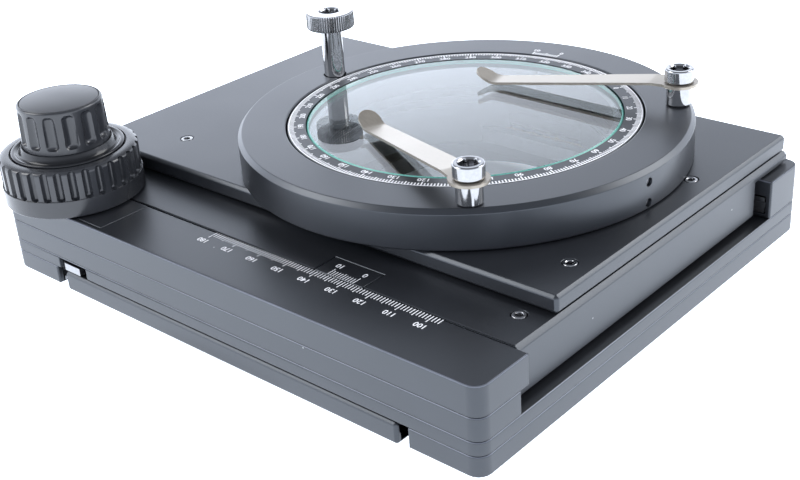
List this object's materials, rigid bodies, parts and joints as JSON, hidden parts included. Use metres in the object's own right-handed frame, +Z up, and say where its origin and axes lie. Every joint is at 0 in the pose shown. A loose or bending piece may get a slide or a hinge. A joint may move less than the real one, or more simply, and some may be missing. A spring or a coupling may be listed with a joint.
{
  "type": "mechanical microscope stage",
  "caption": "Two-axis mechanical microscope stage with coaxial drive knobs, a scale and vernier, and a rotary glass table with spring clips and a clamp screw.",
  "frame": {"origin": "centre of the footprint at rest, on the underside of the base plate", "axes": "+Z up, +X to the right along the scale, +Y away from the user"},
  "size_m": [0.1894, 0.171, 0.0659],
  "materials": {
    "black_anodised": "satin black anodised",
    "scale_plate": "satin black with white engraving",
    "ground_steel": "ground",
    "chrome": "polished",
    "spring_steel": "polished strip",
    "brass": "machined",
    "ribbed_plastic": "satin moulded",
    "gloss_plastic": "gloss",
    "clear_glass": "polished, ground edge"
  },
  "bodies": {
    "base": {"base_plate": "black_anodised", "y_rack": "ground_steel", "base_rail_left": "ground_steel", "base_rail_right": "ground_steel"},
    "y_cages": {"y_roller_cage_left": "brass", "y_roller_cage_right": "brass"},
    "frame": {"web_plate": "black_anodised", "left_block": "black_anodised", "right_block": "black_anodised", "front_rail_block": "black_anodised", "rear_block": "black_anodised", "scale_block": "scale_plate", "drive_cover": "black_anodised", "knob_bush": "brass", "idler_pin": "ground_steel", "frame_rail_left": "ground_steel", "frame_rail_right": "ground_steel", "frame_rail_front": "ground_steel", "frame_rail_rear": "ground_steel"},
    "x_cages": {"x_roller_cage_front": "brass", "x_roller_cage_rear": "brass"},
    "slide": {"slide_plate": "black_anodised", "slide_rail_front": "ground_steel", "slide_rail_rear": "ground_steel", "x_rack": "ground_steel", "vernier_plate": "scale_plate", "slide_screw_1": "ground_steel", "slide_screw_2": "ground_steel", "top_plate": "black_anodised", "top_plate_screw_1": "chrome", "top_plate_screw_2": "chrome", "top_plate_screw_3": "chrome", "top_plate_screw_4": "chrome", "ring_housing": "black_anodised", "set_screw_lower": "ground_steel", "set_screw_upper": "ground_steel", "clip_post_front": "chrome", "clip_post_rear": "chrome", "clip_screw_front": "chrome", "clip_screw_rear": "chrome"},
    "dial": {"dial_ring": "scale_plate", "glass_disc": "clear_glass", "dial_retainer": "brass"},
    "front_clip": {"clip_front": "spring_steel"},
    "rear_clip": {"clip_rear": "spring_steel"},
    "clamp": {"clamp_screw": "chrome"},
    "x_knob": {"coarse_knob": "ribbed_plastic", "knob_disc": "gloss_plastic", "coarse_sleeve": "ground_steel", "x_pinion": "brass"},
    "y_knob": {"fine_knob": "ribbed_plastic", "knob_cap": "gloss_plastic", "fine_shaft": "ground_steel", "y_pinion": "brass"},
    "x_idler": {"x_idler_gear": "brass"}
  },
  "joints": [
    {"name": "y_travel", "type": "slide", "parent": "base", "child": "frame", "axis": [0, 1, 0], "range_m": [-0.008, 0.042]},
    {"name": "y_cage_roll", "type": "slide", "parent": "base", "child": "y_cages", "axis": [0, 1, 0], "range_m": [-0.004, 0.021]},
    {"name": "x_travel", "type": "slide", "parent": "frame", "child": "slide", "axis": [1, 0, 0], "range_m": [-0.05, 0.028]},
    {"name": "x_cage_roll", "type": "slide", "parent": "frame", "child": "x_cages", "axis": [1, 0, 0], "range_m": [-0.025, 0.014]},
    {"name": "x_knob_turn", "type": "hinge", "parent": "frame", "child": "x_knob", "pos_m": [-0.07345, -0.0643, 0.0267], "axis": [0, 0, 1], "range_deg": [-597, 335]},
    {"name": "x_idler_turn", "type": "hinge", "parent": "frame", "child": "x_idler", "pos_m": [-0.06235, -0.0643, 0.0267], "axis": [0, 0, 1], "range_deg": [-255, 455]},
    {"name": "y_knob_turn", "type": "hinge", "parent": "frame", "child": "y_knob", "pos_m": [-0.07345, -0.0643, 0.0267], "axis": [0, 0, 1], "range_deg": [-402, 77]},
    {"name": "dial_turn", "type": "hinge", "parent": "slide", "child": "dial", "pos_m": [0.01545, 0.0171, 0.0443], "axis": [0, 0, 1], "continuous": true},
    {"name": "front_clip_swing", "type": "hinge", "parent": "slide", "child": "front_clip", "pos_m": [0.05646, -0.03177, 0.0443], "axis": [0, 0, 1], "range_deg": [-15, 120]},
    {"name": "rear_clip_swing", "type": "hinge", "parent": "slide", "child": "rear_clip", "pos_m": [0.06607, 0.05594, 0.0443], "axis": [0, 0, 1], "range_deg": [-120, 15]},
    {"name": "clamp_turn", "type": "hinge", "parent": "slide", "child": "clamp", "pos_m": [-0.04166, 0.02039, 0.0443], "axis": [0, 0, 1], "range_deg": [0, 180]}
  ],
  "couplings": [
    {"joint": "y_cage_roll", "follows": "y_travel", "ratio": 0.5},
    {"joint": "x_cage_roll", "follows": "x_travel", "ratio": 0.5},
    {"joint": "x_knob_turn", "follows": "x_travel", "rad_per_m": 208.33},
    {"joint": "x_idler_turn", "follows": "x_travel", "rad_per_m": -158.73},
    {"joint": "y_knob_turn", "follows": "y_travel", "rad_per_m": -166.67}
  ]
}
